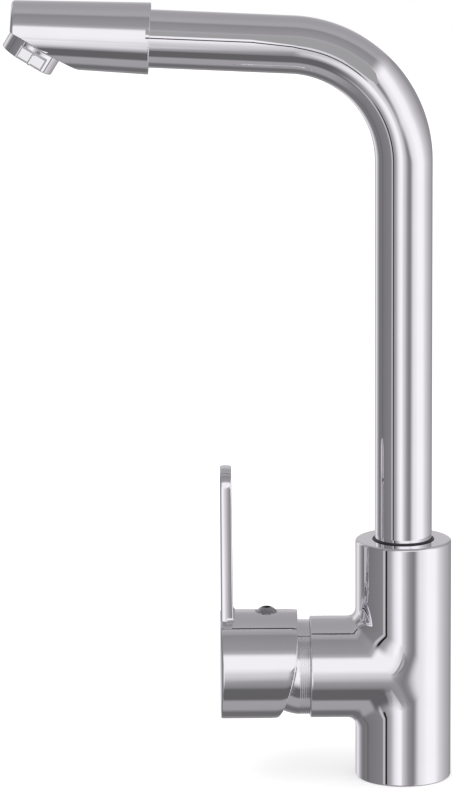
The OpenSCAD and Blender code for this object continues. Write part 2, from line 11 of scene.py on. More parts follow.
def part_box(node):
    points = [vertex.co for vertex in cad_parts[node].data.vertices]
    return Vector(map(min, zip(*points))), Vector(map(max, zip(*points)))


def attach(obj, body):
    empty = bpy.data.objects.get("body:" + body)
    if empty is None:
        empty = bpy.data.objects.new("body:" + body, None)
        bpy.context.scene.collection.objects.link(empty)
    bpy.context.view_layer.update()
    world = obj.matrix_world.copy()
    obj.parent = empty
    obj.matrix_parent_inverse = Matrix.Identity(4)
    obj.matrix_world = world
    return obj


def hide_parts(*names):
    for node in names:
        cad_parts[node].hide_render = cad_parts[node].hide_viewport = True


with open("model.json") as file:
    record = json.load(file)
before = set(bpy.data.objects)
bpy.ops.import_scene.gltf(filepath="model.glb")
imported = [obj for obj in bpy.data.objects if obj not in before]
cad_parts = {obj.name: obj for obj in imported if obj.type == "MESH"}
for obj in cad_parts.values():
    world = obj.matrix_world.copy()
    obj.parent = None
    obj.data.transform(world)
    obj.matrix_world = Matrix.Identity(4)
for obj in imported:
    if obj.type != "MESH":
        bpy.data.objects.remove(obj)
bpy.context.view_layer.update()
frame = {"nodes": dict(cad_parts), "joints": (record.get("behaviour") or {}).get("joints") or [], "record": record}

MM = 0.001
# Least values that keep a division or a root sound
TINY = 1e-9
LEAST_SINE_SQUARE = 1e-6
LEAST_SLOPE_SQUARE = 1e-3


# Sizes: most come from the frame's boxes and joints, the rest repeat the CAD's driving values

# Gaps between pieces that sit in one another, and the edges of their cuts
SEAT_GAP = 0.1 * MM
HEAD_GAP = 0.2 * MM
CUT_EDGE = 0.25 * MM
FINE_EDGE = 0.15 * MM


def low_high(node):
    low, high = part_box(node)
    return np.array(low), np.array(high)


def joint_place(name):
    return next(np.array(joint["pos_m"], float) for joint in frame["joints"] if joint["name"] == name)


# Column and branch. The saddle's widths are those over which the two run together, where they cross squarely
# and where they nearly touch. From its end on, the branch closes in a ball inside the column.
body_low, body_high = low_high("faucet_body")
COLUMN_R = body_high[1]
COLUMN_H = body_high[2]
BRANCH_R = body_high[0]
BRANCH_FRONT = body_low[1]
PIVOT = joint_place("lever_tilt")
BRANCH_Z = PIVOT[2]
COLUMN_EDGE = 1.2 * MM
FOOT_EDGE = 0.8 * MM
BRANCH_EDGE = 0.9 * MM
SADDLE_TOP = 5.2 * MM
SADDLE_SIDE = 7.6 * MM
BRANCH_END = -7 * MM

# Hollows of the body: the foot's recess, the hose ports and their passages, the stud's hole, the tube's
# bearing, and the cartridge's chamber with its wider mouth
RECESS_R = 19.5 * MM
RECESS_H = 24 * MM
PORT_R = 4.5 * MM
PORT_X = 10.5 * MM
PORT_Y = -5 * MM
PORT_TOP = 34 * MM
PASSAGE_R = 3.5 * MM
PASSAGE_TOP = 60 * MM
STUD_R = 3.4 * MM
STUD_Y = 11.5 * MM
STUD_TOP = 36 * MM
BEARING_R = 15 * MM
BEARING_H = 42 * MM
BEARING_Z = COLUMN_H - BEARING_H
CHAMBER_R = 20.2 * MM
CHAMBER_SEAT = -24 * MM
MOUTH_R = 21 * MM
MOUTH_SEAT = -38 * MM

# Spout tube: it rises, bends towards the user and runs on with a small rise
tube_low, tube_high = low_high("spout_tube")
TUBE_R = tube_high[1]
TUBE_WALL = 1.5 * MM
BEND_R = 56.5 * MM
RISE = math.radians(2.8)
RUN_DIR = np.array([0, -math.cos(RISE), math.sin(RISE)])
RUN_UP = np.array([0, math.sin(RISE), math.cos(RISE)])
RUN_L = (-BEND_R + BEND_R * math.sin(RISE) - TUBE_R * math.sin(RISE) - tube_low[1]) / math.cos(RISE)
BEND_Z = tube_high[2] - (RUN_L * math.sin(RISE) + (TUBE_R + BEND_R) * math.cos(RISE))
RUN_START = np.array([0, -BEND_R + BEND_R * math.sin(RISE), BEND_Z + BEND_R * math.cos(RISE)])
BEND_ANGLE = math.pi / 2 - RISE
BEND_TURN = math.degrees(BEND_ANGLE)

# Outlet sleeve: tapered, with the waterway, and cut at a slant from the upright
SLEEVE_L = 66.7 * MM
SLEEVE_OVERLAP = 25.7 * MM
SLEEVE_START = RUN_L - SLEEVE_OVERLAP
SLEEVE_END = SLEEVE_START + SLEEVE_L
SLEEVE_REAR_R = 17.3 * MM
SLEEVE_FRONT_R = 15.65 * MM
SLEEVE_EDGE = 1.6 * MM
SLEEVE_BEVEL = 0.4 * MM
SLEEVE_WAY_R = 9 * MM
SLEEVE_WAY_L = 24 * MM
SLANT = math.radians(31.95)
SLANT_TOP = 2.1 * MM
# Mean cosine between the normals of the sleeve's side and of its slanted cut
SLANT_COSINE = 0.5
SLANT_OUT = np.array([0, -math.sin(SLANT), -math.cos(SLANT)])
SLANT_DOWN = np.array([0, math.cos(SLANT), -math.sin(SLANT)])

# Aerator ring on the slanted cut: lengths run outwards from the cut. Each flat has a rib up its middle.
AERATOR_R = low_high("aerator_housing")[1][0]
AERATOR_H = 9.2 * MM
AERATOR_GAP = 0.2 * MM
AERATOR_INSET = 0.6 * MM
AERATOR_EDGE = 0.5 * MM
AERATOR_THREAD_R = 11.8 * MM
AERATOR_BORE_R = 9.2 * MM
AERATOR_CUP_R = 10.3 * MM
AERATOR_FOOT = -7.8 * MM
AERATOR_CUP_END = 5.7 * MM
SOCKET_H = 9 * MM
FLAT_DEPTH = 2 * MM
FLAT_W = 15 * MM
FLAT_TOP = 2.6 * MM
FLAT_RIB = 1.2 * MM
FLAT_TURN = math.radians(6)
AERATOR_AT = RUN_START + RUN_DIR * SLEEVE_END + RUN_UP * SLANT_TOP + SLANT_DOWN * (AERATOR_R + AERATOR_INSET)

# Shroud dome: a grooved neck and a round cover
dome_low, dome_high = low_high("shroud_dome")
DOME_R = dome_high[0]
DOME_WALL = 1 * MM
GROOVE_COUNT = 5
GROOVE_PITCH = 0.95 * MM
GROOVE_DEPTH = 0.3 * MM
GROOVE_START = 0.7 * MM
GROOVE_EDGE = 0.08 * MM
DOME_EDGE = 0.12 * MM
COVER_GAP = 0.3 * MM

# Handle and lever. The handle's rear face is upright down to RIM_BEND_Z and curves forward below it. Near
# that face the handle is slightly thinner, and beside the lever its front face lies slightly back.
handle_low, handle_high = low_high("lever_handle")
HANDLE_R = handle_high[0]
HANDLE_FRONT = handle_low[1]
HANDLE_REAR = handle_high[1]
HANDLE_Z = handle_low[2] + HANDLE_R
HANDLE_EDGE = 1.2 * MM
FACE_DROP = 0.7 * MM
RIM_BEND_Z = 76.4 * MM
RIM_R = 107.3 * MM
RIM_EDGE = 0.5 * MM
RIM_FADE = 3.4 * MM
RIM_DROP = 0.25 * MM
CAVITY_GAP = 0.45 * MM
CAVITY_R = DOME_R + CAVITY_GAP
LEVER_TOP = handle_high[2]
LEVER_W = 23 * MM
LEVER_FOOT_T = 6.5 * MM
LEVER_TOP_T = 5.9 * MM
LEVER_CORNER = 9 * MM
LEVER_CROWN_R = 16 * MM
LEVER_EDGE = 0.5 * MM
LEVER_FILLET = 1.8 * MM
BOSS_R = 9 * MM
BOSS_BEFORE_PIVOT = 12.6 * MM
BOSS_REAR = PIVOT[1] - BOSS_BEFORE_PIVOT
STEM_HALF = 4.1 * MM
STEM_COVER = 9.9 * MM
STEM_FRONT = HANDLE_FRONT + STEM_COVER

# Handle screw with its hexagon socket
screw_low, screw_high = low_high("handle_screw")
SCREW_Y = (screw_low[1] + screw_high[1]) / 2
SCREW_HEAD_R = screw_high[0]
SCREW_HEAD_H = 3.3 * MM
SCREW_SEAT = screw_high[2] - SCREW_HEAD_H
SCREW_R = 3 * MM
SCREW_OVERLAP = 1 * MM
SCREW_EDGE = 0.2 * MM
SOCKET_HALF = 2 * MM
SOCKET_DEPTH = 2.4 * MM
SOCKET_TURNS = [math.radians(turn) for turn in (30, 90, 150)]

# Top ring
TOP_RING_EDGE = 0.3 * MM
TOP_RING_FOOT_EDGE = 0.1 * MM


# Signed distance fields: negative inside, in metres, for rows of points

def blend_union(a, b, cosine, radius):
    """Either shape, with the fillet of a ball that rolls along both where their normals have this cosine."""
    sine = np.maximum(1 - cosine**2, TINY)
    deep_a, deep_b = radius - a, radius - b
    share_a = deep_a - deep_b * cosine
    share_b = deep_b - deep_a * cosine
    reach = np.sqrt(np.maximum(deep_a**2 + deep_b**2 - 2 * deep_a * deep_b * cosine, 0) / sine)
    return np.where((share_a > 0) & (share_b > 0), radius - reach, np.minimum(a, b))


def blend_soft(a, b, cosine, width_square, width_flat):
    """Either shape, run together softly: one width where they cross squarely, one where they nearly touch."""
    sine = np.sqrt(np.clip(1 - cosine**2, LEAST_SINE_SQUARE, 1))
    width = (width_flat + (width_square - width_flat) * sine**3) * sine
    near = np.maximum(1 - np.abs(a - b) / width, 0)
    return np.minimum(a, b) - near**2 * width / 4


def blend_common(a, b, cosine, radius):
    """What both shapes share, with the edge between them rounded."""
    return -blend_union(-a, -b, cosine, radius)


def minus(a, tool, radius=CUT_EDGE):
    """The first shape without the tool, with its new edge rounded."""
    return blend_common(a, -tool, 0.0, radius)


def upright_bore(x, y, z, at, radius, top):
    """Upright round hole from below, up to a height."""
    return np.maximum(np.hypot(x - at[0], y - at[1]) - radius, z - top)


def body_field(p):
    """Column and branch in one, less the body's hollows."""
    x, y, z = p.T
    lift = z - BRANCH_Z
    round_column = np.hypot(x, y)
    round_branch = np.hypot(x, lift)
    column = round_column - COLUMN_R
    back = np.maximum(y - BRANCH_END, 0)
    ball = np.hypot(round_branch, back)
    branch = ball - BRANCH_R
    cosine = (x**2 + y * back) / np.maximum(round_column * ball, TINY)
    shape = blend_soft(column, branch, cosine, SADDLE_TOP, SADDLE_SIDE)
    shape = blend_common(shape, BRANCH_FRONT - y, 0.0, BRANCH_EDGE)
    shape = blend_common(shape, z - COLUMN_H, 0.0, COLUMN_EDGE)
    shape = blend_common(shape, -z, 0.0, FOOT_EDGE)
    shape = minus(shape, upright_bore(x, y, z, (0, 0), RECESS_R, RECESS_H))
    shape = minus(shape, np.maximum(round_column - BEARING_R, BEARING_Z - z))
    shape = minus(shape, np.maximum(round_branch - CHAMBER_R, y - CHAMBER_SEAT))
    shape = minus(shape, np.maximum(round_branch - MOUTH_R, y - MOUTH_SEAT))
    for side in (-1, 1):
        shape = minus(shape, upright_bore(x, y, z, (side * PORT_X, PORT_Y), PORT_R, PORT_TOP))
        shape = minus(shape, upright_bore(x, y, z, (side * PORT_X, PORT_Y), PASSAGE_R, PASSAGE_TOP))
    return minus(shape, upright_bore(x, y, z, (0, STUD_Y), STUD_R, STUD_TOP))


def rim_field(y, z):
    """Rear face of the handle: upright above, curving forward below; with its normal's lift."""
    reach_y = y - (HANDLE_REAR - RIM_R)
    reach_z = np.minimum(z - RIM_BEND_Z, 0)
    far = np.hypot(reach_y, reach_z)
    return far - RIM_R, reach_z / np.maximum(far, TINY)


def blade_field(x, y, z):
    """Lever blade: front face upright, rear face tapering, narrow sides crowned, every edge eased."""
    height = LEVER_TOP - (HANDLE_Z + HANDLE_R)
    slope = (LEVER_FOOT_T - LEVER_TOP_T) / height
    thick = LEVER_TOP_T + slope * (LEVER_TOP - z)
    rear = (y - HANDLE_FRONT - thick) / math.hypot(1, slope)
    corner_x = np.maximum(np.abs(x) - (LEVER_W / 2 - LEVER_CORNER), 0)
    corner_z = np.maximum(z - (LEVER_TOP - LEVER_CORNER), 0)
    crown = (y - HANDLE_FRONT - thick / 2) ** 2 / (2 * LEVER_CROWN_R)
    sides = np.hypot(corner_x, corner_z) - LEVER_CORNER + crown
    slab = np.maximum(rear, HANDLE_FRONT - y)
    return blend_common(sides, slab, 0.0, LEVER_EDGE)


def handle_outside(x, y, z):
    """Handle body and lever blade, run together behind the front face, before the hollows are cut."""
    lift = z - HANDLE_Z
    round_handle = np.hypot(x, lift)
    rim, rim_lift = rim_field(y, z)
    drop = RIM_DROP * np.clip(1 + rim / RIM_FADE, 0, 1) ** 2
    barrel = round_handle - HANDLE_R + drop
    cosine = rim_lift * lift / np.maximum(round_handle, TINY)
    barrel = blend_common(barrel, rim, cosine, RIM_EDGE)
    blade = np.maximum(blade_field(x, y, z), HANDLE_Z - z)
    foot = blend_union(barrel, np.maximum(blade, HANDLE_FRONT - y), 0.0, LEVER_FILLET)
    lever = np.where(y > HANDLE_FRONT + LEVER_FOOT_T / 2, foot, np.minimum(barrel, blade))
    aside = np.clip((np.abs(x) - LEVER_W / 2) / (HANDLE_R - LEVER_W / 2), 0, 1)
    return blend_common(lever, HANDLE_FRONT + FACE_DROP * aside**2 - y, 0.0, HANDLE_EDGE)


def handle_field(p):
    """Handle and lever, less the dome's cavity, with the boss that takes the stem, and the screw's hole."""
    x, y, z = p.T
    lift = z - PIVOT[2]
    cavity = np.sqrt(x**2 + (y - PIVOT[1]) ** 2 + lift**2) - CAVITY_R
    lever = minus(handle_outside(x, y, z), cavity)
    boss = np.maximum(np.hypot(x, lift) - BOSS_R, np.maximum(y - BOSS_REAR, STEM_FRONT - y))
    lever = np.minimum(lever, boss)
    square = np.maximum(np.abs(x), np.abs(lift)) - STEM_HALF
    lever = minus(lever, np.maximum(square, STEM_FRONT - y))
    screw = np.hypot(x, y - SCREW_Y)
    lever = minus(lever, np.maximum(screw - SCREW_R - SEAT_GAP, -lift))
    return minus(lever, np.maximum(screw - SCREW_HEAD_R - HEAD_GAP, SCREW_SEAT - z), FINE_EDGE)


def sleeve_field(p):
    """Sleeve, less the aerator's socket, the tube's seat and the waterway between them."""
    rel = p - RUN_START
    along, up, x = rel @ RUN_DIR, rel @ RUN_UP, rel[:, 0]
    radius = np.hypot(x, up)
    taper = (SLEEVE_REAR_R - SLEEVE_FRONT_R) / SLEEVE_L
    shape = (radius - SLEEVE_REAR_R + taper * (along - SLEEVE_START)) / math.hypot(1, taper)
    shape = blend_common(shape, along - SLEEVE_END, 0.0, SLEEVE_EDGE)
    shape = blend_common(shape, SLEEVE_START - along, 0.0, SLEEVE_BEVEL)
    at = p - AERATOR_AT
    out = at @ SLANT_OUT
    shape = blend_common(shape, out, SLANT_COSINE, SLEEVE_BEVEL)
    socket = np.hypot(at[:, 0], at @ SLANT_DOWN) - AERATOR_THREAD_R - AERATOR_GAP
    shape = minus(shape, np.maximum(socket, -SOCKET_H - out))
    shape = minus(shape, np.maximum(radius - TUBE_R - SEAT_GAP, along - RUN_L - SEAT_GAP))
    return minus(shape, np.maximum(radius - SLEEVE_WAY_R, along - RUN_L - SLEEVE_WAY_L))


def aerator_field(p):
    """Ring with its threaded end, less its bore, its cup and the flats."""
    at = p - AERATOR_AT
    x, down, out = at[:, 0], at @ SLANT_DOWN, at @ SLANT_OUT
    radius = np.hypot(x, down)
    ring = blend_common(radius - AERATOR_R, out - AERATOR_H, 0.0, AERATOR_EDGE)
    ring = blend_common(ring, AERATOR_GAP - out, 0.0, AERATOR_EDGE)
    thread = np.maximum(radius - AERATOR_THREAD_R, np.maximum(AERATOR_FOOT - out, out - AERATOR_GAP))
    shape = np.minimum(ring, thread)
    shape = minus(shape, radius - AERATOR_BORE_R)
    shape = minus(shape, np.maximum(radius - AERATOR_CUP_R, out - AERATOR_CUP_END))
    across = np.abs(x * math.cos(FLAT_TURN) + down * math.sin(FLAT_TURN))
    along = np.abs(down * math.cos(FLAT_TURN) - x * math.sin(FLAT_TURN))
    flat = np.maximum(AERATOR_R - FLAT_DEPTH - across, np.maximum(along - FLAT_W / 2, FLAT_RIB / 2 - along))
    return minus(shape, np.maximum(flat, FLAT_TOP - out), FINE_EDGE)


def screw_field(p):
    """Button head and shank, less the socket."""
    x, y, z = p[:, 0], p[:, 1] - SCREW_Y, p[:, 2] - SCREW_SEAT
    ball_r = (SCREW_HEAD_R**2 + SCREW_HEAD_H**2) / (2 * SCREW_HEAD_H)
    ball = np.sqrt(x**2 + y**2 + (z - SCREW_HEAD_H + ball_r) ** 2) - ball_r
    head = blend_common(ball, -z, 0.0, SCREW_EDGE)
    shank_ends = np.maximum(screw_low[2] - SCREW_SEAT - z, z - SCREW_OVERLAP)
    shank = np.maximum(np.hypot(x, y) - SCREW_R, shank_ends)
    across = [np.abs(x * math.cos(turn) + y * math.sin(turn)) for turn in SOCKET_TURNS]
    hexagon = np.max(across, axis=0) - SOCKET_HALF
    socket = np.maximum(hexagon, SCREW_HEAD_H - SOCKET_DEPTH - z)
    return minus(np.minimum(head, shank), socket, SCREW_EDGE)


# Mesh making

# Cells by which the grid starts below the box, where an uneven share keeps flat faces off its points, and the
# points that it has more than the box needs
GRID_MARGIN = 2.37
GRID_EXTRA = 3
SETTLE_ROUNDS = 2
LAST_SETTLE_ROUNDS = 3
RELAX_ROUNDS = 3
RELAX_SHARE = 0.5
SLOPE_REACH = 0.01 * MM
CORNER_STEPS = 6
ARC_STEPS = 24
BEND_STEPS = 96
LIP_STEPS = 8
TUBE_SEGMENTS = 128
TURNED_SEGMENTS = 192


def gradient(field, p, reach=SLOPE_REACH):
    """Slope of a field along x, y and z at each point."""
    steps = np.eye(3) * reach
    return np.stack([field(p + s) - field(p - s) for s in steps], 1) / (2 * reach)


def settle(field, p, rounds):
    """Moves points onto the field's zero surface and returns them with the unit normals."""
    for _ in range(rounds):
        slope = gradient(field, p)
        p = p - slope * (field(p) / np.maximum((slope**2).sum(1), LEAST_SLOPE_SQUARE))[:, None]
    slope = gradient(field, p)
    return p, slope / np.maximum(np.linalg.norm(slope, axis=1), TINY)[:, None]


def sampled(field, low, counts, step):
    """Values of a field on a grid of points."""
    levels = [low[i] + step * np.arange(counts[i]) for i in range(3)]
    value = np.empty(counts)
    ys, zs = np.meshgrid(levels[1], levels[2], indexing="ij")
    for i, x in enumerate(levels[0]):
        slab = np.stack([np.full(ys.size, x), ys.ravel(), zs.ravel()], 1)
        value[i] = field(slab).reshape(ys.shape)
    return value


def crossed_edges(value, low, step, a):
    """Grid edges along one axis that the surface crosses: start, crossing point, and which ones lead in."""
    near = np.take(value, range(value.shape[a] - 1), axis=a)
    far = np.take(value, range(1, value.shape[a]), axis=a)
    at = np.argwhere((near < 0) != (far < 0))
    v0, v1 = near[tuple(at.T)], far[tuple(at.T)]
    point = low + step * at
    point[:, a] += step * v0 / (v0 - v1)
    return at, point, v0 > 0


def crossings(field, low, high, step):
    """Surface net of a field: one vertex per grid cell that the surface crosses, one quad per such edge."""
    low = low - GRID_MARGIN * step
    counts = np.ceil((high - low) / step).astype(int) + GRID_EXTRA
    value = sampled(field, low, counts, step)
    cell_shape = tuple(counts - 1)
    total = int(np.prod(cell_shape))
    weight, place, quads = np.zeros(total), np.zeros((total, 3)), []
    for a in range(3):
        b, c = (a + 1) % 3, (a + 2) % 3
        at, point, inward = crossed_edges(value, low, step, a)
        quad = []
        for db, dc in ((-1, -1), (0, -1), (0, 0), (-1, 0)):
            cell = at.copy()
            cell[:, b] += db
            cell[:, c] += dc
            flat = np.ravel_multi_index(cell.T, cell_shape)
            weight += np.bincount(flat, minlength=total)
            for i in range(3):
                place[:, i] += np.bincount(flat, weights=point[:, i], minlength=total)
            quad.append(flat)
        quad = np.stack(quad, 1)
        quad[inward] = quad[inward][:, ::-1]
        quads.append(quad)
    used, faces = np.unique(np.concatenate(quads), return_inverse=True)
    return place[used] / weight[used, None], faces.reshape(-1, 4)


def relaxed(p, faces, normals, share):
    """Slides each vertex within the surface towards the middle of its neighbours."""
    total, count = np.zeros_like(p), np.zeros(len(p))
    for i in range(4):
        a, b = faces[:, i], faces[:, (i + 1) % 4]
        for one, other in ((a, b), (b, a)):
            count += np.bincount(one, minlength=len(p))
            for k in range(3):
                total[:, k] += np.bincount(one, weights=p[other, k], minlength=len(p))
    move = total / count[:, None] - p
    move -= normals * (move * normals).sum(1)[:, None]
    return p + share * move


def mesh_object(name, points, faces, normals):
    """Smooth object with these normals at its vertices."""
    mesh = bpy.data.meshes.new(name)
    mesh.from_pydata(points.tolist(), [], np.asarray(faces).tolist())
    mesh.polygons.foreach_set("use_smooth", [True] * len(mesh.polygons))
    mesh.update()
    mesh.normals_split_custom_set_from_vertices(normals.tolist())
    piece = bpy.data.objects.new(name, mesh)
    bpy.context.scene.collection.objects.link(piece)
    return piece


def skin(name, field, node, step):
    """Smooth skin of a field round a CAD node's box, with the field's own normals."""
    low, high = low_high(node)
    points, faces = crossings(field, low, high, step)
    for _ in range(RELAX_ROUNDS):
        points, normals = settle(field, points, SETTLE_ROUNDS)
        points = relaxed(points, faces, normals, RELAX_SHARE)
    points, normals = settle(field, points, LAST_SETTLE_ROUNDS)
    return mesh_object(name, points, faces, normals)


def rounded(corners, arc_steps=CORNER_STEPS):
    """Closed outline of (radius, height, fillet) corners as points with their outward normals."""
    points, normals = [], []
    count = len(corners)
    for i, (r, h, fillet) in enumerate(corners):
        here = np.array([r, h])
        before = np.array(corners[i - 1][:2]) - here
        after = np.array(corners[(i + 1) % count][:2]) - here
        before /= np.linalg.norm(before)
        after /= np.linalg.norm(after)
        out_before = np.array([-before[1], before[0]])
        out_after = np.array([after[1], -after[0]])
        half = math.acos(np.clip(before @ after, -1, 1)) / 2
        centre = here + (before + after) / np.linalg.norm(before + after) * fillet / math.sin(half)
        turn = before[0] * after[1] - before[1] * after[0]
        for k in range(arc_steps + 1):
            normal = out_before * (1 - k / arc_steps) + out_after * (k / arc_steps)
            normal /= np.linalg.norm(normal)
            points.append(centre + normal * fillet * (1 if turn < 0 else -1))
            normals.append(normal)
    return np.array(points), np.array(normals)


def closed_grid(rows, columns):
    """Quads over a grid of points that closes both ways."""
    faces = []
    for i in range(rows):
        for j in range(columns):
            here, ahead = i * columns, (i + 1) % rows * columns
            aside = (j + 1) % columns
            faces.append((here + j, here + aside, ahead + aside, ahead + j))
    return faces


def turned(name, outline, origin, axis, side, segments=TURNED_SEGMENTS):
    """Closed outline revolved about an axis, with exact normals. The outline runs anticlockwise."""
    profile, slopes = rounded(outline)
    axis, side = np.array(axis, float), np.array(side, float)
    third = np.cross(axis, side)
    angles = np.arange(segments) * 2 * math.pi / segments
    spokes = np.outer(np.cos(angles), side) + np.outer(np.sin(angles), third)
    points = origin + spokes[:, None] * profile[:, :1] + axis * profile[:, 1:]
    normals = spokes[:, None] * slopes[:, :1] + axis * slopes[:, 1:]
    faces = [(a, d, c, b) for a, b, c, d in closed_grid(segments, len(profile))]
    return mesh_object(name, points.reshape(-1, 3), faces, normals.reshape(-1, 3))


# Pieces

def bend_station(around):
    """Middle of the tube and its forward and outward directions, at an angle round the bend."""
    outward = np.array([0, math.cos(around), math.sin(around)])
    along = np.array([0, -math.sin(around), math.cos(around)])
    return np.array([0, -BEND_R, BEND_Z]) + BEND_R * outward, along, outward


def lip_rings(centre, along, outward, start):
    """Rings of the half-round lip at one end of the tube, over half a turn from this angle."""
    lip = TUBE_WALL / 2
    rings = []
    for k in range(1, LIP_STEPS):
        turn = start + math.pi * k / LIP_STEPS
        face, forward = math.cos(turn), math.sin(turn)
        at = centre + along * lip * (forward - math.copysign(1, forward))
        rings.append((at, along, outward, TUBE_R - lip + lip * face, face, forward))
    return rings


def make_spout():
    """Tube swept along the rise, the bend and the run, outside and inside, with a lip at each end."""
    stations = [(np.array([0, 0, tube_low[2]]), *bend_station(0)[1:])]
    stations += [bend_station(BEND_ANGLE * k / BEND_STEPS) for k in range(BEND_STEPS + 1)]
    stations.append((RUN_START + RUN_DIR * RUN_L, RUN_DIR, RUN_UP))
    rings = [(*station, TUBE_R, 1.0, 0.0) for station in stations]
    rings += lip_rings(*stations[-1], 0)
    rings += [(*station, TUBE_R - TUBE_WALL, -1.0, 0.0) for station in reversed(stations)]
    rings += lip_rings(*stations[0], math.pi)
    angles = np.arange(TUBE_SEGMENTS) * 2 * math.pi / TUBE_SEGMENTS
    points, normals = [], []
    for centre, along, outward, radius, face, forward in rings:
        spokes = np.outer(np.cos(angles), outward) + np.outer(np.sin(angles), np.cross(along, outward))
        points.append(centre + spokes * radius)
        normals.append(spokes * face + along * forward)
    faces = closed_grid(len(rings), TUBE_SEGMENTS)
    return mesh_object("spout_shell", np.concatenate(points), faces, np.concatenate(normals))


def dome_arc(radius, centre, first, last):
    """Corners along an arc of the dome, between two angles above its middle."""
    turns = [first + (last - first) * k / ARC_STEPS for k in range(ARC_STEPS + 1)]
    return [(radius * math.cos(turn), centre + radius * math.sin(turn), DOME_EDGE) for turn in turns]


def make_dome():
    """Neck with fine grooves and the round cover, thin-walled, about the branch's axis."""
    neck = SEAT_GAP - BRANCH_FRONT
    centre = -PIVOT[1]
    ball = -dome_low[1] - centre
    inner_r, groove_r = DOME_R - DOME_WALL, DOME_R - GROOVE_DEPTH
    outline = [(inner_r, neck, DOME_EDGE), (DOME_R, neck, DOME_EDGE)]
    for k in range(GROOVE_COUNT):
        start = GROOVE_START - BRANCH_FRONT + k * GROOVE_PITCH
        end = start + GROOVE_PITCH / 2
        outline += [(DOME_R, start, DOME_EDGE), (groove_r, start + DOME_EDGE, GROOVE_EDGE)]
        outline += [(groove_r, end - DOME_EDGE, GROOVE_EDGE), (DOME_R, end, DOME_EDGE)]
    first = math.asin((end + COVER_GAP - centre) / DOME_R)
    outline += dome_arc(DOME_R, centre, first, math.asin(ball / DOME_R))
    outline += dome_arc(inner_r, centre, math.asin(ball / inner_r), 0)
    return turned("shroud_shell", outline, np.array([0, 0, BRANCH_Z]), (0, -1, 0), (0, 0, 1))


def make_top_ring():
    """Thin ring round the tube in the column's top."""
    low, high = low_high("top_ring")
    outer, inner, bottom, top = high[0], TUBE_R + SEAT_GAP, low[2], high[2]
    outline = [(inner, bottom, TOP_RING_FOOT_EDGE), (outer, bottom, TOP_RING_FOOT_EDGE)]
    outline += [(outer, top, TOP_RING_EDGE), (inner, top, TOP_RING_EDGE)]
    return turned("top_ring_soft", outline, np.zeros(3), (0, 0, 1), (1, 0, 0))


# Finishes

# Part of a noise's range that it mostly has
NOISE_LOW, NOISE_HIGH = 0.3, 0.7
# Each noise has its scale, in waves to the metre, and its detail. Tones are dark and light, and roughness is
# from and to. A depth is the height that a noise gives the surface.
CHROME_TONES = ((0.93, 0.92, 0.945), (0.95, 0.94, 0.965))
CHROME_ROUGHNESS = (0.012, 0.03)
CHROME_HAZE = (55, 4)
CHROME_WAVES = (38, 1)
CHROME_WAVE_DEPTH = 0.01 * MM
CHROME_SPECKS = (900, 2)
SPECK_RANGE = (0.62, 0.8)
SPECK_ROUGHNESS = (0, 0.05)
SPECK_DEPTH = 0.0004 * MM
STEEL_TONES = ((0.44, 0.44, 0.45), (0.52, 0.52, 0.53))
STEEL_ROUGHNESS = (0.06, 0.14)
STEEL_CLOUD = (90, 2)
STEEL_GRAIN = (700, 5)
STEEL_DEPTH = 0.004 * MM
BRASS_TONES = ((0.5, 0.34, 0.14), (0.72, 0.53, 0.26))
BRASS_ROUGHNESS = (0.24, 0.42)
BRASS_TARNISH = (120, 5)
BRASS_GRAIN = (1400, 2)
BRASS_DEPTH = 0.006 * MM
MOULDED_CLOUD = (140, 4)
# Moulded and pressed pieces: dark tone, light tone, roughness, the pores' noise and its depth
MOULDED = {
    "black_rubber": ((0.012, 0.012, 0.013), (0.03, 0.03, 0.032), (0.55, 0.8), (900, 3), 0.01 * MM),
    "black_plastic": ((0.012, 0.012, 0.014), (0.03, 0.03, 0.034), (0.3, 0.5), (1200, 3), 0.005 * MM),
    "white_plastic": ((0.72, 0.71, 0.67), (0.82, 0.81, 0.77), (0.3, 0.48), (1000, 3), 0.005 * MM),
    "disc_ceramic": ((0.8, 0.79, 0.75), (0.88, 0.87, 0.84), (0.08, 0.16), (1500, 3), 0.001 * MM),
}


